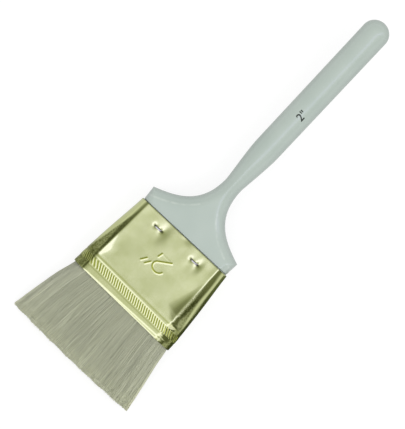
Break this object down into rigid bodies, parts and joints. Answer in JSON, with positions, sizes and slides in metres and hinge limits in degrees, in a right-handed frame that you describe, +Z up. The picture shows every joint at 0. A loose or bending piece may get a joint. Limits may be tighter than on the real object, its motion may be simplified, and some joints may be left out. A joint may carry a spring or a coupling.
{
  "type": "paint brush",
  "caption": "Flat wash brush: routed lacquered wooden handle, creased brass-coloured ferrule with beads, held by wire staples, and a wide flared head of soft hair that bends.",
  "frame": {"origin": "on the surface that the brush lies on, under the middle of its outline; the brush lies on its back, on the ferrule's lip bead and the crowns of the back staples", "axes": "+X along the brush towards the handle's end, which rises 3.5 degrees, +Y across the width, +Z up, out of the front"},
  "size_m": [0.1798, 0.0604, 0.0206],
  "materials": {
    "lacquered_wood": "gloss",
    "brass_sheet": "polished",
    "staple_steel": "satin",
    "resin": "gloss",
    "bare_wood": "matte",
    "hair": "matte"
  },
  "bodies": {
    "handle_and_ferrule": {"handle": "lacquered_wood", "ferrule": "brass_sheet", "staple_front_left": "staple_steel", "staple_front_right": "staple_steel", "staple_back_left": "staple_steel", "staple_back_right": "staple_steel", "resin_setting": "resin", "spacer_strip": "bare_wood", "bristle_root": "hair"},
    "free_hair": {"bristles": "hair"}
  },
  "joints": [
    {"name": "bristle_flex", "type": "hinge", "parent": "handle_and_ferrule", "child": "free_hair", "pos_m": [-0.06274, 0, 0.0058], "axis": [0, 1, 0], "range_deg": [-40, 40], "stiffness_Nm_per_rad": 0.06}
  ]
}
